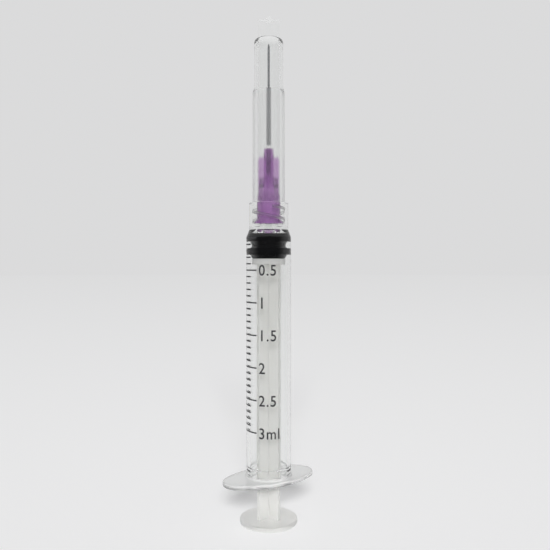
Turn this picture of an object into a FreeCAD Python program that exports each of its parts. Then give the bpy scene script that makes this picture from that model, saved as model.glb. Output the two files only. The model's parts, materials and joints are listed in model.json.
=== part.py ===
import FreeCAD, Part
import math
import os
import re
import Sketcher

# A 3 ml syringe that stands on its thumb press. The origin is the centre of the thumb press's
# underside, +Z runs up the axis to the cap's tip, and the finger flange is longest along X.
# Lengths are in millimetres and angles in degrees.

# Driving sizes

SIZES = [
    # Thumb press and plunger rod
    ("press_radius", 7.0),
    ("press_thickness", 1.2),
    ("press_edge_round", 0.35),
    ("grip_ring_count", 3),
    ("grip_ring_first_radius", 2.6),
    ("grip_ring_pitch", 1.4),
    ("grip_ring_width", 0.5),
    ("grip_ring_depth", 0.25),
    ("rod_rib_reach", 3.45),
    ("rod_rib_thickness", 0.9),
    ("rod_turn", 15.0),
    ("seat_disc_radius", 4.0),
    ("seat_disc_thickness", 1.4),
    ("neck_radius", 1.5),
    ("neck_height", 1.6),
    ("head_radius", 2.5),
    ("head_height", 1.2),
    ("head_cone_height", 1.3),
    ("head_tip_radius", 1.0),
    # Barrel
    ("thumb_gap", 9.1),
    ("barrel_radius", 5.425),
    ("bore_radius", 4.55),
    ("barrel_length", 59.1),
    ("shoulder_height", 1.7),
    ("shoulder_round", 0.5),
    ("flange_length", 24.0),
    ("flange_width", 13.0),
    ("flange_end_radius", 4.2),
    ("flange_thickness", 1.2),
    ("flange_edge_round", 0.35),
    ("flange_root_round", 0.4),
    ("bore_lead_in", 0.35),
    ("retaining_bead_top", 3.7),
    ("retaining_bead_height", 0.2),
    ("retaining_bead_width", 0.4),
    ("retaining_bead_slope", 0.4),
    ("end_cone_height", 1.35),
    ("end_flat_radius", 2.8),
    ("end_wall", 0.9),
    # Luer lock, on the barrel's end
    ("collar_radius", 4.75),
    ("collar_bore_radius", 4.0),
    ("collar_height", 6.5),
    ("collar_floor", 0.8),
    ("collar_edge_round", 0.2),
    ("luer_tip_radius", 1.98),
    ("luer_length", 7.9),
    ("luer_taper_ratio", 0.03),
    ("luer_bore_radius", 1.1),
    ("luer_tip_round", 0.15),
    # Stopper
    ("stopper_length", 6.7),
    ("stopper_clearance", 0.05),
    ("stopper_end_gap", 0.15),
    ("stopper_rear_radius", 3.8),
    ("stopper_rear_taper", 1.5),
    ("stopper_lip_height", 0.8),
    ("stopper_groove_depth", 0.5),
    ("stopper_groove_flank", 0.4),
    ("stopper_lip_round", 0.15),
    ("stopper_nose_round", 0.35),
    ("head_clearance", 0.05),
    # Needle hub
    ("hub_standoff", 0.7),
    ("hub_turn", 330.0),
    ("hub_skirt_radius", 2.6),
    ("hub_seat_radius", 2.85),
    ("hub_seat_top", 6.6),
    ("hub_cone_base", 7.2),
    ("hub_cone_top_radius", 2.15),
    ("hub_cone_top", 10.8),
    ("hub_shoulder_top", 11.6),
    ("hub_nose_base_radius", 1.25),
    ("hub_nose_tip_radius", 1.15),
    ("hub_length", 18.0),
    ("fin_count", 4),
    ("fin_reach", 2.5),
    ("fin_thickness", 0.7),
    ("fin_shoulder_drop", 2.6),
    ("fin_top_drop", 1.2),
    ("lug_reach", 3.6),
    ("lug_rim", 0.35),
    ("lug_height", 1.1),
    ("lug_spread", 80.0),
    ("luer_clearance", 0.03),
    ("hub_socket_depth", 8.5),
    ("hub_throat_radius", 0.8),
    ("hub_throat_base", 10.9),
    ("hub_throat_top", 12.0),
    # Needle tube and its adhesive
    ("tube_radius", 0.275),
    ("tube_bore_radius", 0.155),
    ("tube_exposed", 25.4),
    ("glue_film", 0.03),
    ("glue_well_radius", 0.75),
    ("glue_well_depth", 1.0),
    ("glue_rim_height", 0.2),
    ("glue_rise", 0.9),
    ("glue_tip_width", 0.12),
    ("bevel_angle", 12.0),
    ("grind_angle", 19.0),
    ("grind_turn", 38.0),
    ("grind_inset", 0.035),
    # Needle cap
    ("cap_gap", 0.3),
    ("cap_fit", 0.03),
    ("cap_radius", 3.5),
    ("cap_tip_room", 0.4),
    ("cap_seat_depth", 1.6),
    ("cap_bore_end_radius", 2.45),
    ("cap_end_wall", 0.7),
    ("cap_end_round", 1.0),
    ("cap_rib_count", 12),
    ("cap_rib_reach", 3.87),
    ("cap_rib_length", 26.3),
    ("cap_rib_runout", 1.0),
    ("cap_rib_radius", 0.65),
    ("tip_fin_count", 4),
    ("tip_fin_reach", 2.65),
    ("tip_fin_end_reach", 2.5),
    ("tip_fin_height", 4.5),
    ("tip_fin_thickness", 1.0),
    # How far a cutting outline runs past the faces it opens
    ("cut_margin", 0.5),
]
NAMES = {name for name, value in SIZES}

# Heights that follow from the sizes. Those of the barrel are counted from its flange's underside.

BARREL_FOOT = "(press_thickness + thumb_gap)"
COLLAR_BASE = "(barrel_length + shoulder_height)"
COLLAR_TOP = f"({COLLAR_BASE} + collar_height)"
RECESS_FLOOR = f"({COLLAR_BASE} + collar_floor)"
LUER_TIP = f"({RECESS_FLOOR} + luer_length)"
BORE_END = f"({RECESS_FLOOR} - end_wall)"
STOPPER_REAR = f"({BARREL_FOOT} + {BORE_END} - stopper_end_gap - stopper_length)"
ROD_TOP = f"({STOPPER_REAR} - seat_disc_thickness)"
HUB_FOOT = f"({BARREL_FOOT} + {RECESS_FLOOR} + hub_standoff)"
TUBE_FOOT = f"({HUB_FOOT} + hub_throat_top)"
TUBE_LENGTH = "(hub_length - hub_throat_top + tube_exposed)"
CAP_FOOT = f"({BARREL_FOOT} + {COLLAR_TOP} + cap_gap)"
CAP_BORE = f"({TUBE_FOOT} + {TUBE_LENGTH} + cap_tip_room - {CAP_FOOT})"
CAP_LENGTH = f"({CAP_BORE} + cap_end_wall)"


def bound(text):
    """The expression text with each size's name read from the sheet."""
    return re.sub(r"[a-z_]+", lambda word: f"Sizes.{word[0]}" if word[0] in NAMES else word[0], text)


def make_sheet(doc):
    """The spreadsheet that holds the driving sizes."""
    sheet = doc.addObject("Spreadsheet::Sheet", "Sizes")
    for row, (name, value) in enumerate(SIZES, start=1):
        sheet.set(f"A{row}", name)
        sheet.set(f"B{row}", str(value))
        sheet.setAlias(f"B{row}", name)
    doc.recompute()
    return sheet


# Sketches

def make_body(doc, name, height="0", turn=None):
    """A body that stands at a height on the axis, turned about it where turn names an angle."""
    body = doc.addObject("PartDesign::Body", name)
    body.Label = name
    body.Placement = FreeCAD.Placement(FreeCAD.Vector(), FreeCAD.Rotation(FreeCAD.Vector(0, 0, 1), 1))
    body.setExpression("Placement.Base.z", bound(height))
    body.setExpression("Placement.Rotation.Angle", bound(turn or "0"))
    return body


def origin_feature(body, role):
    """The body's own origin plane or axis with this role."""
    return next(feature for feature in body.Origin.OriginFeatures if feature.Role == role)


def sketch_on(body, name, plane):
    """An empty sketch on one of the body's origin planes."""
    sketch = body.newObject("Sketcher::SketchObject", name)
    sketch.AttachmentSupport = [(origin_feature(body, plane), "")]
    sketch.MapMode = "FlatFace"
    return sketch


def number(owner, text):
    """What an expression comes to with the sheet's present values."""
    return float(owner.evalExpression(bound(text)))


def hold(sketch, kind, targets, text):
    """Adds a dimension of this kind and binds it to the expression."""
    index = sketch.addConstraint(Sketcher.Constraint(kind, *targets, number(sketch, text)))
    sketch.setExpression(f"Constraints[{index}]", bound(text))


def place_point(sketch, edge, end, across, along):
    """Holds one end of an edge at two expressions, measured from the sketch's origin."""
    hold(sketch, "DistanceX", (-1, 1, edge, end), across)
    hold(sketch, "DistanceY", (-1, 1, edge, end), along)


def add_outline(sketch, corners):
    """A closed outline of straight edges through corners given as pairs of expressions."""
    points = [FreeCAD.Vector(number(sketch, x), number(sketch, y), 0) for x, y in corners]
    first = sketch.GeometryCount
    count = len(points)
    for index in range(count):
        sketch.addGeometry(Part.LineSegment(points[index], points[(index + 1) % count]))
    for index in range(count):
        following = first + (index + 1) % count
        sketch.addConstraint(Sketcher.Constraint("Coincident", first + index, 2, following, 1))
    for index, (across, along) in enumerate(corners):
        place_point(sketch, first + index, 1, across, along)


def add_circle(sketch, radius):
    """A circle round the sketch's origin."""
    circle = Part.Circle(FreeCAD.Vector(), FreeCAD.Vector(0, 0, 1), number(sketch, radius))
    index = sketch.addGeometry(circle)
    sketch.addConstraint(Sketcher.Constraint("Coincident", index, 3, -1, 1))
    hold(sketch, "Radius", (index,), radius)


def add_wings(sketch):
    """The finger flange's outline: two long arcs that run into two end arcs, all tangent."""
    length = number(sketch, "flange_length / 2")
    width = number(sketch, "flange_width / 2")
    end = number(sketch, "flange_end_radius")
    end_centre = length - end
    side_centre = (end_centre**2 - (width - end) ** 2) / (2 * (width - end))
    side = width + side_centre
    turn = math.atan2(side_centre, end_centre)
    arcs = [
        (0, -side_centre, side, turn, math.pi - turn),
        (-end_centre, 0, end, math.pi - turn, math.pi + turn),
        (0, side_centre, side, math.pi + turn, 2 * math.pi - turn),
        (end_centre, 0, end, -turn, turn),
    ]
    for x, y, radius, start, stop in arcs:
        circle = Part.Circle(FreeCAD.Vector(x, y, 0), FreeCAD.Vector(0, 0, 1), radius)
        sketch.addGeometry(Part.ArcOfCircle(circle, start, stop))
    for index in range(4):
        sketch.addConstraint(Sketcher.Constraint("Tangent", index, 2, (index + 1) % 4, 1))
    place_point(sketch, 1, 3, "flange_end_radius - flange_length / 2", "0")
    place_point(sketch, 3, 3, "flange_length / 2 - flange_end_radius", "0")
    hold(sketch, "Radius", (1,), "flange_end_radius")
    sketch.addConstraint(Sketcher.Constraint("Equal", 1, 3))
    reach = "((flange_length / 2 - flange_end_radius)^2 - (flange_width / 2 - flange_end_radius)^2)"
    drop = f"{reach} / (flange_width - 2 * flange_end_radius)"
    hold(sketch, "DistanceY", (-1, 1, 0, 3), f"-{drop}")
    hold(sketch, "DistanceY", (-1, 1, 2, 3), drop)


# Features

def revolve(body, name, corners, kind="Revolution"):
    """Turns an outline in the body's XZ plane all round the axis, or cuts it away as a Groove."""
    sketch = sketch_on(body, f"{name}_outline", "XZ_Plane")
    add_outline(sketch, corners)
    feature = body.newObject(f"PartDesign::{kind}", name)
    feature.Profile = sketch
    feature.ReferenceAxis = (sketch, ["V_Axis"])
    feature.Angle = 360
    return feature


def groove(body, name, corners):
    """Cuts away what an outline in the body's XZ plane sweeps round the axis."""
    return revolve(body, name, corners, "Groove")


def pad(body, name, sketch, length):
    """Raises a sketch along its normal."""
    feature = body.newObject("PartDesign::Pad", name)
    feature.Profile = sketch
    feature.setExpression("Length", bound(length))
    return feature


def pattern(body, name, feature, count):
    """Repeats a feature evenly round the axis."""
    copies = body.newObject("PartDesign::PolarPattern", name)
    copies.Originals = [feature]
    copies.Axis = (origin_feature(body, "Z_Axis"), [""])
    copies.Angle = 360
    copies.setExpression("Occurrences", bound(count))
    body.Tip = copies
    return copies


def ribs(body, name, corners, thickness, count):
    """Upright plates round the axis, each the same outline in a plane through the axis."""
    sketch = sketch_on(body, f"{name}_outline", "XZ_Plane")
    add_outline(sketch, corners)
    rib = pad(body, name, sketch, thickness)
    rib.SideType = "Symmetric"
    pattern(body, f"{name}_round", rib, count)


def beads(body, name, centre, radius, length, count):
    """Round ribs along the axis that swell from the wall, each a rod round its own centre line."""
    sketch = sketch_on(body, f"{name}_outline", "XY_Plane")
    middle = FreeCAD.Vector(number(sketch, centre), 0, 0)
    circle = Part.Circle(middle, FreeCAD.Vector(0, 0, 1), number(sketch, radius))
    index = sketch.addGeometry(circle)
    place_point(sketch, index, 3, centre, "0")
    hold(sketch, "Radius", (index,), radius)
    pattern(body, f"{name}_round", pad(body, name, sketch, length), count)


def round_edges(body, name, radius, circles=(), heights=()):
    """Rounds the whole circles named by (radius, height), and all other edges flat at the heights."""
    body.Document.recompute()
    base = body.Tip
    wanted = [(number(body, r), number(body, z)) for r, z in circles]
    levels = [number(body, z) for z in heights]
    chosen = []
    for index, edge in enumerate(base.Shape.Edges, start=1):
        box = edge.BoundBox
        if box.ZLength > 1e-6:
            continue
        round_here = isinstance(edge.Curve, Part.Circle) and edge.isClosed()
        for r, z in wanted:
            if round_here and abs(edge.Curve.Radius - r) < 1e-4 and abs(box.ZMin - z) < 1e-4:
                chosen.append(f"Edge{index}")
        if not round_here and any(abs(box.ZMin - z) < 1e-4 for z in levels):
            chosen.append(f"Edge{index}")
    if len(chosen) < len(wanted) + len(levels):
        raise RuntimeError(f"{name}: only {len(chosen)} edges found")
    feature = body.newObject("PartDesign::Fillet", name)
    feature.Base = (base, chosen)
    feature.setExpression("Radius", bound(radius))
    return feature


# Plunger rod: thumb press, cross-ribbed rod, and the head that carries the stopper

def make_plunger_rod(doc):
    body = make_body(doc, "plunger_rod", turn="rod_turn")
    revolve(body, "thumb_press", [
        ("0", "0"),
        ("press_radius", "0"),
        ("press_radius", "press_thickness"),
        ("0", "press_thickness"),
    ])
    round_edges(body, "press_rim", "press_edge_round",
                circles=[("press_radius", "0"), ("press_radius", "press_thickness")])
    rings = sketch_on(body, "grip_rings_outline", "XZ_Plane")
    for ring in range(int(number(body, "grip_ring_count"))):
        inner = f"grip_ring_first_radius + {ring} * grip_ring_pitch"
        add_outline(rings, [
            (inner, "-cut_margin"),
            (f"{inner} + grip_ring_width", "-cut_margin"),
            (f"{inner} + grip_ring_width", "grip_ring_depth"),
            (inner, "grip_ring_depth"),
        ])
    cut = body.newObject("PartDesign::Groove", "grip_rings")
    cut.Profile = rings
    cut.ReferenceAxis = (rings, ["V_Axis"])
    cut.Angle = 360
    ribs(body, "rod_rib", [
        ("0", "press_thickness"),
        ("rod_rib_reach", "press_thickness"),
        ("rod_rib_reach", ROD_TOP),
        ("0", ROD_TOP),
    ], "rod_rib_thickness", "4")
    neck_foot = f"{ROD_TOP} + seat_disc_thickness"
    neck_top = f"{neck_foot} + neck_height"
    head_shoulder = f"{neck_top} + head_height"
    head_top = f"{head_shoulder} + head_cone_height"
    revolve(body, "stopper_head", [
        ("0", ROD_TOP),
        ("seat_disc_radius", ROD_TOP),
        ("seat_disc_radius", neck_foot),
        ("neck_radius", neck_foot),
        ("neck_radius", neck_top),
        ("head_radius", neck_top),
        ("head_radius", head_shoulder),
        ("head_tip_radius", head_top),
        ("0", head_top),
    ])
    return body


# Stopper: rubber seal with two rings, a conical nose and a socket for the rod's head

def make_stopper(doc):
    body = make_body(doc, "stopper", height=STOPPER_REAR)
    ring = "(bore_radius - stopper_clearance)"
    waist = f"({ring} - stopper_groove_depth)"
    nose = "(end_flat_radius - stopper_clearance)"
    rear_lip_top = "(stopper_rear_taper + stopper_lip_height)"
    cone_foot = "(stopper_length - end_cone_height)"
    front_lip_foot = f"({cone_foot} - stopper_lip_height)"
    revolve(body, "seal", [
        ("0", "0"),
        ("stopper_rear_radius", "0"),
        (ring, "stopper_rear_taper"),
        (ring, rear_lip_top),
        (waist, f"{rear_lip_top} + stopper_groove_flank"),
        (waist, f"{front_lip_foot} - stopper_groove_flank"),
        (ring, front_lip_foot),
        (ring, cone_foot),
        (nose, "stopper_length"),
        ("0", "stopper_length"),
    ])
    round_edges(body, "seal_lips", "stopper_lip_round", circles=[
        (ring, "stopper_rear_taper"),
        (ring, rear_lip_top),
        (ring, front_lip_foot),
        (ring, cone_foot),
    ])
    round_edges(body, "seal_nose", "stopper_nose_round", circles=[(nose, "stopper_length")])
    throat = "neck_radius + head_clearance"
    room = "head_radius + head_clearance"
    undercut = "neck_height - head_clearance"
    shoulder = "neck_height + head_height"
    end = f"{shoulder} + head_cone_height + head_clearance"
    groove(body, "head_socket", [
        ("0", "-cut_margin"),
        (throat, "-cut_margin"),
        (throat, undercut),
        (room, undercut),
        (room, shoulder),
        ("head_tip_radius + head_clearance", end),
        ("0", end),
    ])
    return body


# Barrel: tube, finger flange, conical end, luer-lock collar and male luer cone, in one moulding

def make_barrel(doc):
    body = make_body(doc, "barrel", height=BARREL_FOOT)
    luer_root = "luer_tip_radius + luer_taper_ratio * luer_length"
    revolve(body, "tube_and_collar", [
        ("0", "0"),
        ("barrel_radius", "0"),
        ("barrel_radius", "barrel_length"),
        ("collar_radius", COLLAR_BASE),
        ("collar_radius", COLLAR_TOP),
        ("collar_bore_radius", COLLAR_TOP),
        ("collar_bore_radius", RECESS_FLOOR),
        (luer_root, RECESS_FLOOR),
        ("luer_tip_radius", LUER_TIP),
        ("0", LUER_TIP),
    ])
    round_edges(body, "shoulder", "shoulder_round", circles=[("barrel_radius", "barrel_length")])
    round_edges(body, "collar_rim", "collar_edge_round",
                circles=[("collar_radius", COLLAR_TOP), ("collar_bore_radius", COLLAR_TOP)])
    round_edges(body, "luer_tip", "luer_tip_round", circles=[("luer_tip_radius", LUER_TIP)])
    wings = sketch_on(body, "finger_flange_outline", "XY_Plane")
    add_wings(wings)
    pad(body, "finger_flange", wings, "flange_thickness")
    round_edges(body, "flange_root", "flange_root_round", circles=[("barrel_radius", "flange_thickness")])
    round_edges(body, "flange_rim", "flange_edge_round", heights=["0", "flange_thickness"])
    bead_foot = "retaining_bead_top - retaining_bead_slope - retaining_bead_width"
    bead = "bore_radius - retaining_bead_height"
    groove(body, "bore", [
        ("0", "-cut_margin"),
        ("bore_radius + bore_lead_in + cut_margin", "-cut_margin"),
        ("bore_radius", "bore_lead_in"),
        ("bore_radius", f"{bead_foot} - retaining_bead_slope"),
        (bead, bead_foot),
        (bead, "retaining_bead_top - retaining_bead_slope"),
        ("bore_radius", "retaining_bead_top"),
        ("bore_radius", f"{BORE_END} - end_cone_height"),
        ("end_flat_radius", BORE_END),
        ("luer_bore_radius", BORE_END),
        ("luer_bore_radius", f"{LUER_TIP} + cut_margin"),
        ("0", f"{LUER_TIP} + cut_margin"),
    ])
    return body


# Needle hub: violet moulding with fins, lugs for the luer lock and the female luer cone

def make_needle_hub(doc):
    body = make_body(doc, "needle_hub", height=HUB_FOOT, turn="hub_turn")
    revolve(body, "hub", [
        ("0", "0"),
        ("hub_seat_radius", "0"),
        ("hub_seat_radius", "hub_seat_top"),
        ("hub_skirt_radius", "hub_cone_base"),
        ("hub_cone_top_radius", "hub_cone_top"),
        ("hub_nose_base_radius", "hub_shoulder_top"),
        ("hub_nose_tip_radius", "hub_length"),
        ("0", "hub_length"),
    ])
    fin_foot = "hub_cone_base"
    ribs(body, "fin", [
        ("tube_radius", fin_foot),
        ("fin_reach", fin_foot),
        ("fin_reach", "hub_length - fin_shoulder_drop"),
        ("hub_nose_tip_radius", "hub_length - fin_top_drop"),
        ("tube_radius", "hub_length - fin_top_drop"),
    ], "fin_thickness", "fin_count")
    lug = revolve(body, "lug", [
        ("tube_radius", "0"),
        ("lug_reach", "0"),
        ("lug_reach", "lug_rim"),
        ("hub_seat_radius", "lug_height"),
        ("tube_radius", "lug_height"),
    ])
    lug.setExpression("Angle", bound("lug_spread"))
    lug.Midplane = True
    pattern(body, "lugs", lug, "2")
    socket = "luer_tip_radius + luer_clearance + luer_taper_ratio * (luer_length - hub_standoff)"
    film = "tube_radius + glue_film"
    groove(body, "socket_and_throat", [
        ("0", "-cut_margin"),
        (f"{socket} + luer_taper_ratio * cut_margin", "-cut_margin"),
        (f"{socket} - luer_taper_ratio * hub_socket_depth", "hub_socket_depth"),
        ("hub_throat_radius", "hub_throat_base"),
        ("hub_throat_radius", "hub_throat_top"),
        (film, "hub_throat_top"),
        (film, "hub_length - glue_well_depth"),
        ("glue_well_radius", "hub_length"),
        ("glue_well_radius", "hub_length + cut_margin"),
        ("0", "hub_length + cut_margin"),
    ])
    return body


# Needle tube: steel tube with a bevel and two side grinds that make the point

def cut_point(body, name, angle, reach, turn=0):
    """Cuts the tube's end along a plane that leaves it at reach from the axis, turned about the axis."""
    sketch = sketch_on(body, f"{name}_outline", "YZ_Plane")
    side = 1 if turn >= 0 else -1
    spin = FreeCAD.Rotation(FreeCAD.Vector(0, side, 0), 1)
    sketch.AttachmentOffset = FreeCAD.Placement(FreeCAD.Vector(), spin)
    sketch.setExpression("AttachmentOffset.Rotation.Angle", bound("grind_turn" if turn else "0"))
    outside = "-(tube_radius + cut_margin)"
    above = f"{TUBE_LENGTH} + cut_margin / tan({angle})"
    add_outline(sketch, [
        (outside, f"{TUBE_LENGTH} - (tube_radius + cut_margin + {reach}) / tan({angle})"),
        (f"{reach} + cut_margin", above),
        (outside, above),
    ])
    cut = body.newObject("PartDesign::Pocket", name)
    cut.Profile = sketch
    cut.Type = "ThroughAll"
    cut.SideType = "Symmetric"


def make_needle_tube(doc):
    body = make_body(doc, "needle_tube", height=TUBE_FOOT, turn="hub_turn + 180")
    section = sketch_on(body, "tube_outline", "XY_Plane")
    add_circle(section, "tube_radius")
    add_circle(section, "tube_bore_radius")
    pad(body, "tube", section, TUBE_LENGTH)
    cut_point(body, "bevel", "bevel_angle", "tube_radius")
    cut_point(body, "left_grind", "grind_angle", "tube_radius - grind_inset", turn=1)
    cut_point(body, "right_grind", "grind_angle", "tube_radius - grind_inset", turn=-1)
    return body


# Adhesive: a bead that fills the well in the hub's nose and climbs the tube

def make_needle_adhesive(doc):
    body = make_body(doc, "needle_adhesive", height=f"{HUB_FOOT} + hub_length", turn="hub_turn")
    revolve(body, "bead", [
        ("tube_radius", "-glue_well_depth"),
        ("tube_radius + glue_film", "-glue_well_depth"),
        ("glue_well_radius", "0"),
        ("glue_well_radius", "glue_rim_height"),
        ("tube_radius + glue_tip_width", "glue_rise"),
        ("tube_radius", "glue_rise"),
    ])
    return body


# Needle cap: clear sheath with grip ribs outside and a cross of fins on its closed end

def make_needle_cap(doc):
    body = make_body(doc, "needle_cap", height=CAP_FOOT, turn="hub_turn")
    revolve(body, "sheath", [
        ("0", "0"),
        ("cap_radius", "0"),
        ("cap_radius", CAP_LENGTH),
        ("0", CAP_LENGTH),
    ])
    round_edges(body, "sheath_end", "cap_end_round", circles=[("cap_radius", CAP_LENGTH)])
    rib_end = "(cap_rib_length + cap_rib_runout)"
    beads(body, "grip_rib", "cap_rib_reach - cap_rib_radius", "cap_rib_radius", rib_end, "cap_rib_count")
    past = "(cap_rib_reach + cut_margin)"
    slope = "(cap_rib_runout / (cap_rib_reach - cap_radius))"
    groove(body, "grip_rib_runout", [
        ("cap_radius", rib_end),
        (past, f"{rib_end} - {slope} * ({past} - cap_radius)"),
        (past, f"{rib_end} + cut_margin"),
    ])
    ribs(body, "tip_fin", [
        ("0", CAP_BORE),
        ("tip_fin_reach", CAP_BORE),
        ("tip_fin_end_reach", f"{CAP_LENGTH} + tip_fin_height"),
        ("0", f"{CAP_LENGTH} + tip_fin_height"),
    ], "tip_fin_thickness", "tip_fin_count")
    seat = "hub_seat_radius + cap_fit"
    groove(body, "needle_room", [
        ("0", "-cut_margin"),
        (seat, "-cut_margin"),
        (seat, "cap_seat_depth"),
        ("cap_bore_end_radius", CAP_BORE),
        ("0", CAP_BORE),
    ])
    return body


# Checks and files

def check(doc, bodies):
    """Stops where a feature failed, a cut removed nothing or a body isn't one sound solid."""
    for item in doc.Objects:
        if {"Invalid", "Error"} & set(item.State):
            raise RuntimeError(f"{item.Name}: {item.State}")
        if item.TypeId in ("PartDesign::Groove", "PartDesign::Pocket"):
            if item.Shape.Volume >= item.BaseFeature.Shape.Volume - 1e-9:
                raise RuntimeError(f"{item.Name} cuts nothing")
    for body in bodies:
        shape = body.Shape
        if shape.isNull() or not shape.isValid() or len(shape.Solids) != 1:
            raise RuntimeError(f"{body.Label} isn't one sound solid")


def main():
    doc = FreeCAD.newDocument("Syringe")
    make_sheet(doc)
    bodies = [
        make_plunger_rod(doc),
        make_stopper(doc),
        make_barrel(doc),
        make_needle_hub(doc),
        make_needle_tube(doc),
        make_needle_adhesive(doc),
        make_needle_cap(doc),
    ]
    doc.recompute()
    check(doc, bodies)
    os.makedirs("parts", exist_ok=True)
    for body in bodies:
        body.Shape.exportStep(f"parts/{body.Label}.step")
        print(body.Label, round(body.Shape.Volume, 2), "mm3")


main()
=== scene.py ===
import json
import math

import bmesh
import bpy
from bpy.props import FloatProperty, FloatVectorProperty, IntProperty, PointerProperty
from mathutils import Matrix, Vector


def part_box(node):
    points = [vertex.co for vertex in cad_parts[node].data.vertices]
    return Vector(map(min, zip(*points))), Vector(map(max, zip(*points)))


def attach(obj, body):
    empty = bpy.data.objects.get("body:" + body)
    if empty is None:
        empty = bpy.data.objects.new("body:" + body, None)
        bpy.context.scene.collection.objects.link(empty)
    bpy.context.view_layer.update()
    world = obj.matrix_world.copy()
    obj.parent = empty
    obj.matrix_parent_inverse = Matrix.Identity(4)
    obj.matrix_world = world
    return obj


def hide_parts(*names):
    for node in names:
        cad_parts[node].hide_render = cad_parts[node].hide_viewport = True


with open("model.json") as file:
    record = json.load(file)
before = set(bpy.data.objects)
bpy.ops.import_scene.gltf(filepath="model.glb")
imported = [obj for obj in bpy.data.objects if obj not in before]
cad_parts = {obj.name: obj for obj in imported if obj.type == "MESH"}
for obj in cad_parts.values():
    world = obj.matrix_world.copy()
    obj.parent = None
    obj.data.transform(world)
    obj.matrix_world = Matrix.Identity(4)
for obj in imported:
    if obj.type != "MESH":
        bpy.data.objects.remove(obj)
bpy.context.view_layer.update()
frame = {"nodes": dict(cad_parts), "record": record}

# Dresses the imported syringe: clear and tinted mouldings, the printed scale, the luer collar's thread,
# the rubber stopper, and a plain pale studio. Lengths are in metres, in the model's own frame, and
# heights are counted from the thumb press's underside.

bl_info = {
    "name": "Syringe dressing",
    "version": (1, 0, 0),
    "blender": (4, 5, 0),
    "location": "View3D > Sidebar > Syringe",
    "description": "Finishes, print and studio for a disposable syringe",
    "category": "Object",
}

MM = 0.001
BARREL_PIN = next(m for m in frame["record"]["mounts"] if m["name"] == "barrel_outside")
BARREL_RADIUS = BARREL_PIN["dims"]["r_mm"] * MM
STOPPER_LOW, STOPPER_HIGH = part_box("stopper")

# Heights at which a finish changes
PRESS_TOP = 1.2 * MM
FLANGE_TOP = 11.5 * MM
HUB_CLEARS = 79.5 * MM
RIBS_END = 104.5 * MM
DOME_FOOT = 115.3 * MM
DOME_TOP = 117.1 * MM

# How strongly polypropylene bends light
PLASTIC_IOR = 1.49

# Width of the strips that a figure is cut into, so that it bends round the barrel
FIGURE_STRIP = 0.12 * MM

# How far past the solid stopper the rubber reaches, which is into the bore's wall
SQUEEZE = 0.055 * MM

# The rubber's outline in mm above its foot, as radius and height. WALL stands for the bore's wall.
WALL = None
SEAL_SOCKET = ((0, 4.15), (1.05, 4.15), (2.55, 2.8), (2.55, 1.55), (1.55, 1.55), (1.55, 0))
SEAL_LOWER_RING = ((3.7, 0), (3.95, 0.12), (4.1, 0.35), (4.35, 0.75), (WALL, 0.95), (WALL, 2.5))
SEAL_GROOVE = ((4.4, 2.65), (4.15, 2.85), (4.1, 3.0), (4.1, 3.35), (4.15, 3.5), (4.4, 3.9))
SEAL_UPPER_RING = ((WALL, 4.1), (WALL, 5.5))
SEAL_NOSE = ((4.11, 5.85), (3.4, 6.0), (3.0, 6.3), (2.7, 6.6), (0, 6.7))
SEAL_OUTLINE = SEAL_SOCKET + SEAL_LOWER_RING + SEAL_GROOVE + SEAL_UPPER_RING + SEAL_NOSE

# Where reflections find the studio dark. It fades in over these distances in front of the syringe on the
# floor, and out over these shares of a direction that point behind the syringe and upwards.
DARK_FLOOR = (0.15, 0.6)
DARK_SIDE = (-0.7, 0.1)
DARK_HEIGHT = (0.06, 0.25)
KEY_DISTANCE = 0.5


# Sizes and colours

class ScaleSizes(bpy.types.PropertyGroup):
    """The scale that is printed on the barrel"""

    zero_height: FloatProperty(
        name="Zero line", description="Height of the zero line above the thumb press's underside",
        default=0.0691, unit="LENGTH")
    ml_length: FloatProperty(
        name="Length of 1 ml", description="Barrel length between two whole millilitres",
        default=0.015412, unit="LENGTH")
    volume: IntProperty(
        name="Volume", description="Millilitres on the whole scale", default=3, min=1)
    facing: FloatProperty(
        name="Facing", description="Direction round the axis that the figures face",
        default=math.radians(-120), unit="ROTATION")
    start: FloatProperty(
        name="Start", description="Where the lines begin, counted from the facing direction",
        default=math.radians(-90), unit="ROTATION")
    short_sweep: FloatProperty(
        name="Short line", description="How far a 0.1 ml line runs round the barrel",
        default=math.radians(38), unit="ROTATION")
    long_sweep: FloatProperty(
        name="Long line", description="How far a 0.5 ml line runs round the barrel",
        default=math.radians(58), unit="ROTATION")
    line_width: FloatProperty(
        name="Line width", description="Width of a printed line", default=0.00032, unit="LENGTH")
    ink_thickness: FloatProperty(
        name="Ink", description="Thickness of the ink film", default=0.000012, unit="LENGTH")
    ink_gap: FloatProperty(
        name="Ink gap", description="Gap between the ink and the barrel", default=0.000004, unit="LENGTH")
    figure_height: FloatProperty(
        name="Figure height", description="Height of the figures", default=0.0026, unit="LENGTH")
    figure_start: FloatProperty(
        name="Figure start", description="Where the figures begin, counted from the facing direction",
        default=math.radians(-26), unit="ROTATION")
    figure_width: FloatProperty(
        name="Figure width", description="Width of a figure against the plain letter's width",
        default=0.9, min=0.5, max=1.5)
    figure_weight: FloatProperty(
        name="Figure weight", description="How much bolder a figure is, in letter heights", default=0.008)
    figure_spacing: FloatProperty(
        name="Figure spacing", description="Spacing against the plain letters' spacing", default=1.12)
    ink: FloatVectorProperty(
        name="Ink colour", description="Colour of the print", default=(0.012, 0.012, 0.014),
        subtype="COLOR", size=3)


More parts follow.
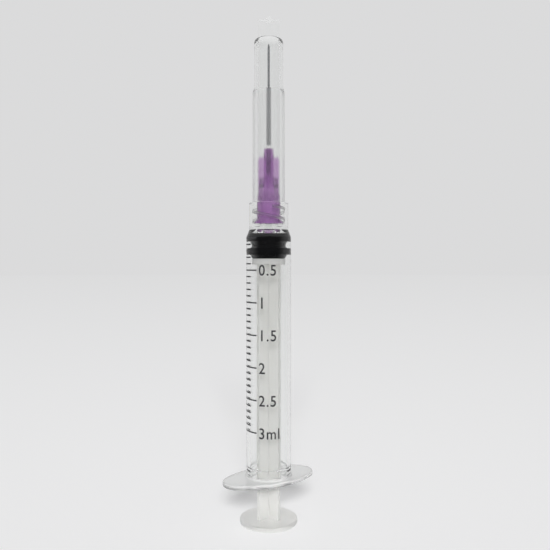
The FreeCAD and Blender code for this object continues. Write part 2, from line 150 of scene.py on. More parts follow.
class ThreadSizes(bpy.types.PropertyGroup):
    """The thread inside the luer collar"""

    starts: IntProperty(
        name="Starts", description="How many threads run side by side", default=2, min=1)
    lead: FloatProperty(
        name="Lead", description="How far one turn rises", default=0.005, unit="LENGTH")
    turns: FloatProperty(
        name="Turns", description="Turns of each thread", default=0.8)
    root_radius: FloatProperty(
        name="Root radius", description="Radius of the collar's wall that the thread stands on",
        default=0.003985, unit="LENGTH")
    ridge_height: FloatProperty(
        name="Ridge height", description="How far the thread stands in from the wall",
        default=0.0001, unit="LENGTH")
    ridge_foot: FloatProperty(
        name="Ridge foot", description="Width of the ridge at the wall", default=0.0007, unit="LENGTH")
    ridge_crest: FloatProperty(
        name="Ridge crest", description="Width of the ridge at its crest", default=0.0003, unit="LENGTH")
    base_height: FloatProperty(
        name="Base height", description="Where the thread begins above the thumb press's underside",
        default=0.0728, unit="LENGTH")


class Finishes(bpy.types.PropertyGroup):
    """Colours of the pieces"""

    clear: FloatVectorProperty(
        name="Clear moulding", description="Tint of the barrel and the cap",
        default=(0.975, 0.98, 0.975), subtype="COLOR", size=3)
    natural: FloatVectorProperty(
        name="Natural moulding", description="Tint of the plunger rod",
        default=(0.955, 0.955, 0.94), subtype="COLOR", size=3)
    rubber: FloatVectorProperty(
        name="Rubber", description="Colour of the stopper", default=(0.004, 0.004, 0.0045),
        subtype="COLOR", size=3)
    violet: FloatVectorProperty(
        name="Violet moulding", description="Tint of the needle hub", default=(0.62, 0.18, 0.7),
        subtype="COLOR", size=3)
    violet_cloud: FloatVectorProperty(
        name="Violet cloud", description="Colour of the needle hub where it's cloudy",
        default=(0.5, 0.28, 0.56), subtype="COLOR", size=3)
    steel: FloatVectorProperty(
        name="Steel", description="Colour of the needle tube", default=(0.3, 0.303, 0.315),
        subtype="COLOR", size=3)
    adhesive: FloatVectorProperty(
        name="Adhesive", description="Tint of the bead that holds the tube", default=(0.97, 0.97, 0.95),
        subtype="COLOR", size=3)


class StudioSizes(bpy.types.PropertyGroup):
    """The camera, the lamps and the floor"""

    distance: FloatProperty(
        name="Camera distance", description="From the camera to the syringe's axis",
        default=0.1546, unit="LENGTH")
    eye_height: FloatProperty(
        name="Camera height", description="Height of the camera above the floor",
        default=0.0626, unit="LENGTH")
    aim_height: FloatProperty(
        name="Aim height", description="Height that the camera aims at", default=0.0602, unit="LENGTH")
    aim_side: FloatProperty(
        name="Aim to the side", description="How far right of the axis the camera aims",
        default=0.00153, unit="LENGTH")
    azimuth: FloatProperty(
        name="Azimuth", description="Direction that the camera looks along, counted from +Y towards -X",
        default=math.radians(-30), unit="ROTATION")
    lens: FloatProperty(name="Lens", description="Focal length in millimetres", default=41.69)
    key_height: FloatProperty(
        name="Key height", description="Angle of the main lamp above the horizon",
        default=math.radians(27), unit="ROTATION")
    key_side: FloatProperty(
        name="Key side", description="Angle of the main lamp to the left of the camera",
        default=math.radians(-1), unit="ROTATION")
    key_strength: FloatProperty(
        name="Key strength", description="Strength of the main lamp", default=3.0)
    key_width: FloatProperty(
        name="Key width", description="Angle that the main lamp fills, which softens its shadows",
        default=math.radians(16), unit="ROTATION")
    fill: FloatProperty(
        name="Fill", description="Level of the even light from all sides", default=0.42)
    backdrop: FloatVectorProperty(
        name="Backdrop", description="Colour behind the syringe", default=(0.708, 0.708, 0.712),
        subtype="COLOR", size=3)
    reflected: FloatProperty(
        name="Reflected", description="How bright surfaces reflect the backdrop", default=0.05)
    floor: FloatVectorProperty(
        name="Floor", description="Colour of the floor", default=(0.95, 0.95, 0.955),
        subtype="COLOR", size=3)
    floor_glow: FloatProperty(
        name="Floor glow", description="Light that the floor gives of its own", default=0.19, min=0.0)
    floor_radius: FloatProperty(
        name="Floor radius", description="Radius of the floor", default=4.0, unit="LENGTH")
    floor_reach: FloatProperty(
        name="Floor reach", description="Distance at which the floor is half the backdrop's colour",
        default=0.3, unit="LENGTH")


# Node trees

class Wire:
    """A node's output. Arithmetic on it adds Math nodes to its board."""

    def __init__(self, board, socket):
        self.board = board
        self.socket = socket

    def math(self, operation, *values):
        return self.board.math(operation, self, *values)

    def __add__(self, other):
        return self.math("ADD", other)

    __radd__ = __add__

    def __mul__(self, other):
        return self.math("MULTIPLY", other)

    __rmul__ = __mul__

    def __sub__(self, other):
        return self.math("SUBTRACT", other)

    def __rsub__(self, other):
        return self.board.math("SUBTRACT", other, self)

    def __rtruediv__(self, other):
        return self.board.math("DIVIDE", other, self)


class Board:
    """A node tree that is being wired."""

    def __init__(self, tree):
        self.tree = tree

    def node(self, kind, settings=None, sockets=None):
        """A node of this type, with its settings, then the values or wires of its sockets."""
        made = self.tree.nodes.new(kind)
        for name, value in (settings or {}).items():
            setattr(made, name, value)
        for name, value in (sockets or {}).items():
            if isinstance(value, Wire):
                self.tree.links.new(value.socket, made.inputs[name])
            else:
                made.inputs[name].default_value = value
        return made

    def wire(self, kind, settings=None, sockets=None, out=0):
        """One output of a new node."""
        return Wire(self, self.node(kind, settings, sockets).outputs[out])

    def math(self, operation, *values):
        sockets = dict(enumerate(values))
        return self.wire("ShaderNodeMath", {"operation": operation}, sockets)

    def colours(self, factor, first, second):
        """Two colours mixed by a factor."""
        sockets = {0: factor, 6: first, 7: second}
        settings = {"data_type": "RGBA", "clamp_factor": True}
        return self.wire("ShaderNodeMix", settings, sockets, 2)

    def places(self, stretch=(1.0, 1.0, 1.0)):
        """Object coordinates, stretched along each axis."""
        raw = self.wire("ShaderNodeTexCoord", out="Object")
        return self.wire("ShaderNodeMapping", None, {"Vector": raw, "Scale": stretch})

    def noise(self, scale, detail=3.0, stretch=(1.0, 1.0, 1.0)):
        """Noise with its grains to a metre, between 0 and 1."""
        sockets = {"Vector": self.places(stretch), "Scale": scale, "Detail": detail}
        return self.wire("ShaderNodeTexNoise", None, sockets)

    def smooth(self, value, low, high, first=0.0, last=1.0):
        """A value that goes smoothly from the first to the last as another goes from low to high."""
        return self.wire("ShaderNodeMapRange", {"interpolation_type": "SMOOTHSTEP"}, {
            "Value": value, "From Min": low, "From Max": high, "To Min": first, "To Max": last,
        })

    def upward(self, vector):
        """The height of a vector."""
        return self.wire("ShaderNodeSeparateXYZ", None, {"Vector": vector}, "Z")

    def climb(self, height, spread, first, last):
        """A value that goes smoothly from the first to the last around a height."""
        half = spread / 2.0
        return self.smooth(self.upward(self.places()), height - half, height + half, first, last)

    def turned_rays(self):
        """One for rays that a surface reflected or bent, otherwise nought."""
        path = self.node("ShaderNodeLightPath")
        both = Wire(self, path.outputs["Is Glossy Ray"]) + Wire(self, path.outputs["Is Transmission Ray"])
        return both.math("MINIMUM", 1.0)

    def bump(self, height, distance, strength=1.0):
        sockets = {"Height": height, "Distance": distance, "Strength": strength}
        return self.wire("ShaderNodeBump", None, sockets)


def shade(colour, factor):
    """The colour as RGBA, made lighter or darker."""
    return (colour[0] * factor, colour[1] * factor, colour[2] * factor, 1.0)


def grey(level):
    """The grey of this level as RGBA."""
    return (level, level, level, 1.0)


def new_material(name):
    """An empty node material and its board."""
    made = bpy.data.materials.new(name)
    made.use_nodes = True
    made.node_tree.nodes.clear()
    return made, Board(made.node_tree)


def plain_surface(board, sockets):
    """Ends the material with one Principled shader."""
    shader = board.wire("ShaderNodeBsdfPrincipled", None, sockets)
    board.node("ShaderNodeOutputMaterial", None, {"Surface": shader})


def see_through_surface(board, sockets, milk, passed, share=1.0, cloud=None, inside=None, density=0.0):
    """Ends the material with plastic that is partly clear and partly milky.

    Milk is the milky part, and cloud is its colour where that isn't the base colour. Passed is the
    colour of the lamps' light behind one surface, and share is how much of it isn't shaded. Inside
    and density are the colour that the light takes on in the plastic and how fast it does.
    """
    clear = board.wire("ShaderNodeBsdfPrincipled", None, {**sockets, "Transmission Weight": 1.0})
    sockets = {**sockets, "Base Color": cloud or sockets["Base Color"], "Transmission Weight": 0.0}
    milky = board.wire("ShaderNodeBsdfPrincipled", None, sockets)
    shader = board.wire("ShaderNodeMixShader", None, {0: milk, 1: clear, 2: milky})
    open_way = board.wire("ShaderNodeBsdfTransparent", None, {"Color": passed})
    shadow = board.wire("ShaderNodeLightPath", out="Is Shadow Ray") * share
    ends = {"Surface": board.wire("ShaderNodeMixShader", None, {0: shadow, 1: shader, 2: open_way})}
    if inside:
        sockets = {"Color": inside, "Density": density}
        ends["Volume"] = board.wire("ShaderNodeVolumeAbsorption", None, sockets)
    board.node("ShaderNodeOutputMaterial", None, ends)


def clear_plastic(tint):
    """Clear polypropylene: gloss, with faint flow lines along the axis, milky on the flange: partly its own
    haze, and, where it is most milky on top, painted light that makes the top lighter than its rim.
    """
    made, board = new_material("clear_plastic")
    flow = board.noise(900.0, 2.0, (1.0, 1.0, 0.06))
    cloud = board.noise(160.0)
    sockets = {
        "Base Color": board.colours(cloud, shade(tint, 0.99), shade(tint, 1.0)),
        "Roughness": 0.03 + 0.05 * flow,
        "IOR": PLASTIC_IOR,
        "Normal": board.bump(flow, 0.000004, 0.4),
    }
    # Painted light: the milk peaks on the flange's top, which makes the top lighter and the rim darker; the
    # lower share is the flange's own haze.
    milk = board.climb(FLANGE_TOP - 0.45 * MM, 0.7 * MM, 0.18, 0.5)
    milk = milk * board.climb(FLANGE_TOP + 0.4 * MM, 0.8 * MM, 1.0, 0.0)
    share = board.climb(FLANGE_TOP + 0.85 * MM, 2.3 * MM, 0.15, 1.0)
    inside = (0.4, 0.41, 0.42, 1.0)
    see_through_surface(board, sockets, milk, grey(0.96), share=share, inside=inside, density=12.0)
    return made


def cap_plastic(tint):
    """Clear polypropylene of the cap, hazy over the grip ribs and a little milky in the dome.

    The ribs would work as lenses that tear the needle's picture apart. The photograph shows it whole,
    so this plastic bends light less than the real one.
    """
    made, board = new_material("cap_plastic")
    flow = board.noise(900.0, 2.0, (1.0, 1.0, 0.06))
    cloud = board.noise(420.0)
    sockets = {
        "Base Color": board.colours(cloud, shade(tint, 0.96), shade(tint, 0.98)),
        "Roughness": board.climb(RIBS_END, 2.0 * MM, 0.38, 0.05) + 0.05 * flow,
        "IOR": 1.2,
        "Normal": board.bump(flow, 0.000006, 0.5),
    }
    dome = board.climb(DOME_FOOT, 1.0 * MM, 0.0, 0.1)
    dome = dome * board.climb(DOME_TOP - 0.3 * MM, 0.6 * MM, 1.0, 0.2)
    see_through_surface(board, sockets, 0.02 * cloud + dome, (0.8, 0.8, 0.805, 1.0))
    return made


def natural_plastic(tint):
    """Natural polypropylene: milky except in the press, satin, with flow lines along the axis."""
    made, board = new_material("natural_plastic")
    flow = board.noise(700.0, 3.0, (1.0, 1.0, 0.08))
    cloud = board.noise(240.0)
    sockets = {
        "Base Color": board.colours(cloud, shade(tint, 0.97), shade(tint, 1.0)),
        "Roughness": 0.26 + 0.12 * flow,
        "IOR": PLASTIC_IOR,
        "Normal": board.bump(flow, 0.000003, 0.5),
    }
    milk = board.climb(PRESS_TOP, 0.8 * MM, 0.12, 0.26) + 0.06 * cloud
    see_through_surface(board, sockets, milk, (0.93, 0.93, 0.92, 1.0))
    return made


def violet_plastic(tint, cloudy):
    """Translucent violet polypropylene: its colour is in its depth, and it's cloudier at the foot."""
    made, board = new_material("violet_plastic")
    cloud = board.noise(420.0)
    sockets = {
        "Base Color": board.colours(cloud, (0.82, 0.62, 0.87, 1.0), (0.87, 0.68, 0.91, 1.0)),
        "Roughness": 0.06 + 0.08 * cloud,
        "IOR": PLASTIC_IOR,
        "Normal": board.bump(cloud, 0.00001, 0.5),
    }
    milk = board.climb(HUB_CLEARS, 6.0 * MM, 0.45, 0.1) + 0.04 * cloud
    whole = shade(cloudy, 1.0)
    see_through_surface(
        board, sockets, milk, shade(tint, 0.9), cloud=whole, inside=shade(tint, 1.0), density=540.0)
    return made


def stopper_rubber(tint):
    """Siliconed rubber: black, gloss, with a fine moulded grain."""
    made, board = new_material("stopper_rubber")
    grain = board.noise(6000.0, 4.0)
    film = board.noise(500.0)
    sockets = {
        "Base Color": board.colours(film, shade(tint, 0.8), shade(tint, 1.3)),
        "Roughness": 0.26 + 0.14 * film,
        "Specular IOR Level": 0.03,
        "Normal": board.bump(grain, 0.000006, 0.5),
    }
    plain_surface(board, sockets)
    return made


def drawn_steel(tint):
    """Stainless steel tube with the fine lines of drawing along its length."""
    made, board = new_material("drawn_steel")
    lines = board.noise(16000.0, 2.0, (1.0, 1.0, 0.01))
    sockets = {
        "Base Color": board.colours(lines, shade(tint, 0.93), shade(tint, 1.05)),
        "Metallic": 1.0,
        "Roughness": 0.09 + 0.08 * lines,
        "Normal": board.bump(lines, 0.000002, 0.6),
    }
    plain_surface(board, sockets)
    return made


def cured_adhesive(tint):
    """Cured adhesive: glossy, with a little haze, and so milky that the white bead is a painted highlight.
    """
    made, board = new_material("cured_adhesive")
    haze = board.noise(2500.0)
    sockets = {
        "Base Color": board.colours(haze, shade(tint, 0.96), shade(tint, 1.0)),
        "Roughness": 0.04 + 0.1 * haze,
        "IOR": 1.5,
    }
    # Painted highlight: the bead is mostly milky white, so it shows as a white spot at the top of the hub's
    # nose.
    see_through_surface(board, sockets, 0.6 + 0.1 * haze, grey(0.8))
    return made


def scale_ink(tint):
    """Pad-printed ink: dark, satin, a little uneven where the film is thin."""
    made, board = new_material("scale_ink")
    film = board.noise(9000.0, 4.0)
    sockets = {
        "Base Color": board.colours(film, shade(tint, 0.8), shade(tint, 2.2)),
        "Roughness": 0.38 + 0.2 * film,
    }
    plain_surface(board, sockets)
    return made


def finish(maker, *colours):
    """The material that a maker makes, made the first time that it's asked for."""
    return bpy.data.materials.get(maker.__name__) or maker(*colours)


def give_finish(node, material):
    """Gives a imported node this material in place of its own."""
    piece = frame["nodes"][node]
    if not piece.material_slots:
        piece.data.materials.append(material)
    for place in piece.material_slots:
        place.material = material


# Meshes

def new_object(name, data):
    """An object at the origin that holds a mesh, a lamp or the like."""
    made = bpy.data.objects.new(name, data)
    bpy.context.scene.collection.objects.link(made)
    return made


def new_tree(name, inputs):
    """An empty geometry tree with named inputs, its board, and each input's wire by name."""
    tree = bpy.data.node_groups.new(name, "GeometryNodeTree")
    for label, kind in inputs.items():
        tree.interface.new_socket(label, in_out="INPUT", socket_type=f"NodeSocket{kind}")
    tree.interface.new_socket("Geometry", in_out="OUTPUT", socket_type="NodeSocketGeometry")
    board = Board(tree)
    entry = board.node("NodeGroupInput")
    wires = {label: Wire(board, entry.outputs[label]) for label in inputs}
    return tree, board, wires


def end_tree(board, geometry, material):
    """Ends a geometry tree: instances made real, and the material set."""
    whole = board.wire("GeometryNodeRealizeInstances", None, {"Geometry": geometry})
    sockets = {"Geometry": whole, "Material": material}
    finished = board.wire("GeometryNodeSetMaterial", None, sockets)
    board.node("NodeGroupOutput", None, {"Geometry": finished})


def upright(board, height):
    """A vector of this height."""
    return board.wire("ShaderNodeCombineXYZ", None, {"Z": height})


def grow(name, tree, values):
    """The plain mesh that a geometry tree makes from these inputs, as an object."""
    made = new_object(name, bpy.data.meshes.new(name))
    modifier = made.modifiers.new("shape", "NODES")
    modifier.node_group = tree
    for item in tree.interface.items_tree:
        if item.in_out == "INPUT":
            modifier[item.identifier] = values[item.name]
    evaluated = made.evaluated_get(bpy.context.evaluated_depsgraph_get())
    mesh = bpy.data.meshes.new_from_object(evaluated)
    made.modifiers.clear()
    made.data = mesh
    if not mesh.polygons:
        raise RuntimeError(f"{name} came out empty")
    return made


def make_lines_tree():
    """Printed lines down a cylinder: every fifth one long, the others short."""
    tree, board, given = new_tree("printed_lines", {
        "Count": "Int", "Top": "Float", "Pitch": "Float", "Radius": "Float", "Start": "Float",
        "Short sweep": "Float", "Long sweep": "Float", "Width": "Float", "Thickness": "Float",
        "Ink": "Material",
    })
    row = board.wire("GeometryNodeMeshLine", {"mode": "OFFSET"}, {
        "Count": given["Count"],
        "Start Location": upright(board, given["Top"]),
        "Offset": upright(board, 0.0 - given["Pitch"]),
    })
    section = board.wire("GeometryNodeCurvePrimitiveQuadrilateral", None, {
        "Width": given["Thickness"], "Height": given["Width"],
    })
    fifth = board.math("LESS_THAN", board.wire("GeometryNodeInputIndex").math("MODULO", 5.0), 0.5)
    lines = []
    for sweep, chosen in (("Short sweep", 1.0 - fifth), ("Long sweep", fifth)):
        path = board.wire("GeometryNodeCurveArc", None, {
            "Resolution": 24, "Radius": given["Radius"], "Start Angle": given["Start"],
            "Sweep Angle": given[sweep],
        })
        line = board.wire("GeometryNodeCurveToMesh", None, {
            "Curve": path, "Profile Curve": section, "Fill Caps": True,
        })
        lines.append(board.wire("GeometryNodeInstanceOnPoints", None, {
            "Points": row, "Selection": chosen, "Instance": line,
        }))
    joined = board.node("GeometryNodeJoinGeometry")
    for line in lines:
        board.tree.links.new(line.socket, joined.inputs[0])
    end_tree(board, Wire(board, joined.outputs[0]), given["Ink"])
    return tree


def make_thread_tree():
    """Helical ridges inside a wall, evenly spaced round the axis."""
    tree, board, given = new_tree("collar_thread", {
        "Starts": "Int", "Turns": "Float", "Lead": "Float", "Radius": "Float", "Height": "Float",
        "Foot": "Float", "Crest": "Float", "Base": "Float", "Plastic": "Material",
    })
    path = board.wire("GeometryNodeCurveSpiral", None, {
        "Resolution": 120, "Rotations": given["Turns"], "Start Radius": given["Radius"],
        "End Radius": given["Radius"], "Height": given["Turns"] * given["Lead"],
    })
    section = board.wire("GeometryNodeCurvePrimitiveQuadrilateral", {"mode": "TRAPEZOID"}, {
        "Bottom Width": given["Foot"], "Top Width": given["Crest"], "Height": given["Height"],
        "Offset": 0.0,
    })
    section = board.wire("GeometryNodeTransform", None, {
        "Geometry": section, "Rotation": (0.0, 0.0, math.pi / 2.0),
    })
    path = board.wire("GeometryNodeSetCurveNormal", {"mode": "Z_UP"}, {"Curve": path})
    ridge = board.wire("GeometryNodeCurveToMesh", None, {
        "Curve": path, "Profile Curve": section, "Fill Caps": True,
    })
    spots = board.wire("GeometryNodeMeshLine", {"mode": "OFFSET"}, {
        "Count": given["Starts"],
        "Start Location": upright(board, given["Base"]),
        "Offset": upright(board, 0.0),
    })
    step = 2.0 * math.pi / given["Starts"]
    turned = upright(board, board.wire("GeometryNodeInputIndex") * step)
    ridges = board.wire("GeometryNodeInstanceOnPoints", None, {
        "Points": spots, "Instance": ridge, "Rotation": turned,
    })
    end_tree(board, ridges, given["Plastic"])
    return tree


def lathe(name, outline, segments=144):
    """Turns an outline that starts and ends on the axis into a closed mesh, seen from outside."""
    shape = bmesh.new()
    turns = [2.0 * math.pi * step / segments for step in range(segments)]
    rings = []
    for radius, height in outline:
        places = [(radius * math.cos(a), radius * math.sin(a), height) for a in turns]
        rings.append([shape.verts.new(place) for place in (places if radius else [(0, 0, height)])])
    for low, high in zip(rings, rings[1:]):
        for step in range(segments):
            after = (step + 1) % segments
            corners = [low[step % len(low)], low[after % len(low)]]
            corners += [high[after % len(high)], high[step % len(high)]]
            shape.faces.new(list(dict.fromkeys(corners)))
    bmesh.ops.recalc_face_normals(shape, faces=shape.faces)
    mesh = bpy.data.meshes.new(name)
    shape.to_mesh(mesh)
    shape.free()
    for face in mesh.polygons:
        face.use_smooth = True
    return new_object(name, mesh)


def figure_mesh(text, sizes):
    """A figure as a thin closed mesh in X and Y, its start and its middle height at the origin."""
    letters = bpy.data.curves.new("figure", "FONT")
    letters.body = text
    letters.size = 1.0
    letters.resolution_u = 4
    letters.offset = sizes.figure_weight
    letters.space_character = sizes.figure_spacing
    holder = new_object("figure", letters)
    evaluated = holder.evaluated_get(bpy.context.evaluated_depsgraph_get())
    flat = bpy.data.meshes.new_from_object(evaluated)
    bpy.data.objects.remove(holder)
    shape = bmesh.new()
    shape.from_mesh(flat)
    bmesh.ops.remove_doubles(shape, verts=shape.verts, dist=1e-5)
    xs = [v.co.x for v in shape.verts]
    ys = [v.co.y for v in shape.verts]
    grow_y = sizes.figure_height / (max(ys) - min(ys))
    grow_x = grow_y * sizes.figure_width
    middle = (max(ys) + min(ys)) / 2.0
    for v in shape.verts:
        v.co = Vector((v.co.x * grow_x, (v.co.y - middle) * grow_y, 0.0))
    for cut in range(1, int(max(xs) * grow_x / FIGURE_STRIP) + 1):
        everything = shape.verts[:] + shape.edges[:] + shape.faces[:]
        place = (cut * FIGURE_STRIP, 0, 0)
        bmesh.ops.bisect_plane(shape, geom=everything, plane_co=place, plane_no=(1, 0, 0))
    raised = bmesh.ops.extrude_face_region(shape, geom=shape.faces[:])
    for item in raised["geom"]:
        if isinstance(item, bmesh.types.BMVert):
            item.co.z += sizes.ink_thickness
    bmesh.ops.recalc_face_normals(shape, faces=shape.faces)
    return shape


def wrap(shape, radius, start, height):
    """Bends a flat mesh round the axis: X runs round from the start angle, Y up, Z outwards."""
    for v in shape.verts:
        turn = start + v.co.x / radius
        out = radius + v.co.z
        v.co = Vector((out * math.cos(turn), out * math.sin(turn), height + v.co.y))


def settle(shape):
    """Sorts corners by place, and edges and faces by corners, because cuts leave them in any order."""
    def corners(item):
        return sorted(v.index for v in item.verts)

    for items, key in ((shape.verts, lambda v: v.co[:]), (shape.edges, corners), (shape.faces, corners)):
        for index, item in enumerate(sorted(items, key=key)):
            item.index = index
        items.sort()
        items.index_update()


# Operators

class SYRINGE_OT_barrel(bpy.types.Operator):
    """Finishes the barrel in clear plastic and makes the thread inside its luer collar"""

    bl_idname = "syringe.barrel"
    bl_label = "Barrel"

    def execute(self, context):
        sizes = context.scene.syringe_thread
        clear = finish(clear_plastic, context.scene.syringe_finishes.clear)
        give_finish("barrel", clear)
        soft = finish(cap_plastic, context.scene.syringe_finishes.clear)
        thread = grow("collar_thread", make_thread_tree(), {
            "Starts": sizes.starts, "Turns": sizes.turns, "Lead": sizes.lead,
            "Radius": sizes.root_radius - sizes.ridge_height / 2.0, "Height": sizes.ridge_height,
            "Foot": sizes.ridge_foot, "Crest": sizes.ridge_crest, "Base": sizes.base_height,
            "Plastic": soft,
        })
        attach(thread, "barrel")
        return {"FINISHED"}


class SYRINGE_OT_scale(bpy.types.Operator):
    """Prints the scale's lines and figures on the barrel"""

    bl_idname = "syringe.scale"
    bl_label = "Printed scale"

    def execute(self, context):
        sizes = context.scene.syringe_scale
        ink = scale_ink(sizes.ink)
        foot = BARREL_RADIUS + sizes.ink_gap
        lines = grow("scale_lines", make_lines_tree(), {
            "Count": sizes.volume * 10 + 1, "Top": sizes.zero_height, "Pitch": sizes.ml_length / 10.0,
            "Radius": foot + sizes.ink_thickness / 2.0,
            "Start": sizes.facing + sizes.start, "Short sweep": sizes.short_sweep,
            "Long sweep": sizes.long_sweep, "Width": sizes.line_width,
            "Thickness": sizes.ink_thickness, "Ink": ink,
        })
        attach(lines, "barrel")
        figures = bmesh.new()
        for half in range(1, sizes.volume * 2 + 1):
            text = f"{half / 2:g}" + ("ml" if half == sizes.volume * 2 else "")
            flat = figure_mesh(text, sizes)
            height = sizes.zero_height - half * sizes.ml_length / 2.0
            wrap(flat, foot, sizes.facing + sizes.figure_start, height)
            part = bpy.data.meshes.new("figure")
            flat.to_mesh(part)
            flat.free()
            figures.from_mesh(part)
        settle(figures)
        mesh = bpy.data.meshes.new("scale_figures")
        figures.to_mesh(mesh)
        figures.free()
        mesh.materials.append(ink)
        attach(new_object("scale_figures", mesh), "barrel")
        return {"FINISHED"}


class SYRINGE_OT_plunger(bpy.types.Operator):
    """Finishes the plunger rod in natural plastic"""

    bl_idname = "syringe.plunger"
    bl_label = "Plunger rod"

    def execute(self, context):
        tint = context.scene.syringe_finishes.natural
        give_finish("plunger_rod", finish(natural_plastic, tint))
        return {"FINISHED"}


class SYRINGE_OT_stopper(bpy.types.Operator):
    """Makes the rubber stopper, its two rings squeezed against the bore"""

    bl_idname = "syringe.stopper"
    bl_label = "Stopper"

    def execute(self, context):
        wall = STOPPER_HIGH.x + SQUEEZE
        outline = []
        for radius, height in SEAL_OUTLINE:
            outline.append((wall if radius is WALL else radius * MM, STOPPER_LOW.z + height * MM))
        seal = lathe("stopper_seal", outline)
        tint = context.scene.syringe_finishes.rubber
        seal.data.materials.append(finish(stopper_rubber, tint))
        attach(seal, "plunger")
        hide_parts("stopper")
        return {"FINISHED"}


class SYRINGE_OT_needle(bpy.types.Operator):
    """Finishes the violet hub, the steel tube and the adhesive that holds it"""

    bl_idname = "syringe.needle"
    bl_label = "Needle"

    def execute(self, context):
        colours = context.scene.syringe_finishes
        give_finish("needle_hub", finish(violet_plastic, colours.violet, colours.violet_cloud))
        give_finish("needle_tube", finish(drawn_steel, colours.steel))
        give_finish("needle_adhesive", finish(cured_adhesive, colours.adhesive))
        return {"FINISHED"}


class SYRINGE_OT_cap(bpy.types.Operator):
    """Finishes the needle cap in clear plastic"""

    bl_idname = "syringe.cap"
    bl_label = "Needle cap"

    def execute(self, context):
        tint = context.scene.syringe_finishes.clear
        give_finish("needle_cap", finish(cap_plastic, tint))
        return {"FINISHED"}


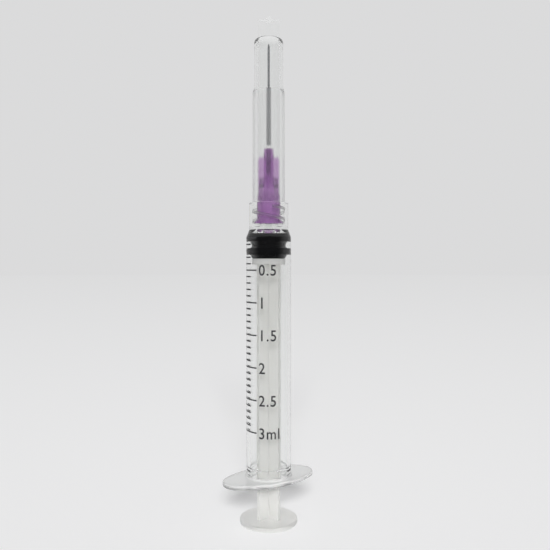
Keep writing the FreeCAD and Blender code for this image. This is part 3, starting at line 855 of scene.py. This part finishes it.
class SYRINGE_OT_studio(bpy.types.Operator):
    """Makes the pale floor and backdrop, the lamps and the camera"""

    bl_idname = "syringe.studio"
    bl_label = "Studio"

    def execute(self, context):
        sizes = context.scene.syringe_studio
        self.make_floor(sizes)
        self.make_world(context.scene, sizes)
        self.make_key(sizes)
        self.make_camera(context.scene, sizes)
        context.scene.view_settings.view_transform = "Standard"
        return {"FINISHED"}

    def make_floor(self, sizes):
        """A wide disc that takes the backdrop's colour far from the syringe."""
        shape = bmesh.new()
        bmesh.ops.create_circle(shape, cap_ends=True, segments=96, radius=sizes.floor_radius)
        mesh = bpy.data.meshes.new("floor")
        shape.to_mesh(mesh)
        shape.free()
        floor = new_object("floor", mesh)
        made, board = new_material("floor")
        grain = board.noise(300.0, 5.0)
        near = board.wire("ShaderNodeBsdfPrincipled", None, {
            "Base Color": board.colours(grain, shade(sizes.floor, 0.995), shade(sizes.floor, 1.0)),
            "Roughness": 0.6 + 0.1 * grain,
            "Specular IOR Level": 0.0,
            "Emission Color": shade(sizes.backdrop, 1.0),
            "Emission Strength": sizes.floor_glow,
        })
        far = board.wire("ShaderNodeEmission", None, {"Color": shade(sizes.backdrop, 1.0)})
        away = board.wire("ShaderNodeVectorMath", {"operation": "LENGTH"}, {0: board.places()}, out="Value")
        fade = 1.0 - sizes.floor_reach / (away + sizes.floor_reach)
        ground = board.wire("ShaderNodeMixShader", None, {0: fade, 1: near, 2: far})
        dim = board.wire("ShaderNodeEmission", None, {
            "Color": shade(sizes.backdrop, 1.0), "Strength": sizes.reflected,
        })
        front = board.smooth(0.0 - self.behind(board, board.places(), sizes), *DARK_FLOOR)
        mirrored = board.turned_rays() * front
        surface = board.wire("ShaderNodeMixShader", None, {0: mirrored, 1: ground, 2: dim})
        board.node("ShaderNodeOutputMaterial", None, {"Surface": surface})
        mesh.materials.append(made)

    def behind(self, board, place, sizes):
        """How far a place or a direction lies behind the syringe, as the camera sees it."""
        away = (-math.sin(sizes.azimuth), math.cos(sizes.azimuth), 0.0)
        settings = {"operation": "DOT_PRODUCT"}
        return board.wire("ShaderNodeVectorMath", settings, {0: place, 1: away}, "Value")

    def make_world(self, scene, sizes):
        """Even light, the backdrop, and the dark room in front that gloss surfaces reflect."""
        world = bpy.data.worlds.new("studio")
        world.use_nodes = True
        world.node_tree.nodes.clear()
        scene.world = world
        board = Board(world.node_tree)
        path = board.node("ShaderNodeLightPath")
        seen = Wire(board, path.outputs["Is Camera Ray"])
        undimmed = Wire(board, path.outputs["Diffuse Depth"]).math("LESS_THAN", 0.5)
        bent = board.turned_rays() * (1.0 - seen) * undimmed
        direction = board.wire("ShaderNodeTexCoord", out="Generated")
        mirrored = board.smooth(self.behind(board, direction, sizes), *DARK_SIDE, sizes.reflected, 1.0)
        mirrored = mirrored.math("MAXIMUM", board.smooth(board.upward(direction), *DARK_HEIGHT))
        level = seen + bent * mirrored + (1.0 - seen) * (1.0 - bent) * sizes.fill
        back = board.wire("ShaderNodeBackground", None, {
            "Color": shade(sizes.backdrop, 1.0), "Strength": level,
        })
        board.node("ShaderNodeOutputWorld", None, {"Surface": back})

    def make_key(self, sizes):
        """The main lamp, in front of the syringe and above it."""
        lamp = bpy.data.lights.new("key", "SUN")
        lamp.energy = sizes.key_strength
        lamp.angle = sizes.key_width
        made = new_object("key", lamp)
        side = sizes.azimuth - sizes.key_side
        flat = math.cos(sizes.key_height)
        towards = Vector((math.sin(side) * flat, -math.cos(side) * flat, math.sin(sizes.key_height)))
        made.location = towards * KEY_DISTANCE
        made.visible_transmission = False
        made.visible_glossy = False
        made.rotation_euler = towards.to_track_quat("Z", "Y").to_euler()

    def make_camera(self, scene, sizes):
        """The camera, nearly level with the barrel's end."""
        lens = bpy.data.cameras.new("camera")
        lens.lens = sizes.lens
        lens.sensor_width = 36.0
        lens.clip_start = 0.005
        lens.clip_end = 20.0
        made = new_object("camera", lens)
        back = Vector((math.sin(sizes.azimuth), -math.cos(sizes.azimuth), 0.0))
        right = Vector((math.cos(sizes.azimuth), math.sin(sizes.azimuth), 0.0))
        made.location = back * sizes.distance + Vector((0.0, 0.0, sizes.eye_height))
        aim = right * sizes.aim_side + Vector((0.0, 0.0, sizes.aim_height))
        made.rotation_euler = (made.location - aim).to_track_quat("Z", "Y").to_euler()
        scene.camera = made


class SYRINGE_PT_pieces(bpy.types.Panel):
    """Lists the syringe's pieces"""

    bl_label = "Syringe"
    bl_idname = "SYRINGE_PT_pieces"
    bl_space_type = "VIEW_3D"
    bl_region_type = "UI"
    bl_category = "Syringe"

    def draw(self, context):
        for step in STEPS:
            self.layout.operator(step.bl_idname)
        for name in GROUPS:
            group = getattr(context.scene, name)
            box = self.layout.box()
            for label in group.bl_rna.properties.keys():
                if label not in ("rna_type", "name"):
                    box.prop(group, label)


STEPS = (
    SYRINGE_OT_barrel,
    SYRINGE_OT_scale,
    SYRINGE_OT_plunger,
    SYRINGE_OT_stopper,
    SYRINGE_OT_needle,
    SYRINGE_OT_cap,
    SYRINGE_OT_studio,
)
GROUPS = {
    "syringe_scale": ScaleSizes,
    "syringe_thread": ThreadSizes,
    "syringe_finishes": Finishes,
    "syringe_studio": StudioSizes,
}
CLASSES = (*GROUPS.values(), *STEPS, SYRINGE_PT_pieces)


def register():
    for item in CLASSES:
        bpy.utils.register_class(item)
    for name, group in GROUPS.items():
        setattr(bpy.types.Scene, name, PointerProperty(type=group))


def unregister():
    for name in GROUPS:
        delattr(bpy.types.Scene, name)
    for item in reversed(CLASSES):
        bpy.utils.unregister_class(item)


def main():
    register()
    bpy.ops.syringe.barrel()
    bpy.ops.syringe.scale()
    bpy.ops.syringe.plunger()
    bpy.ops.syringe.stopper()
    bpy.ops.syringe.needle()
    bpy.ops.syringe.cap()
    bpy.ops.syringe.studio()


if __name__ == "__main__":
    main()
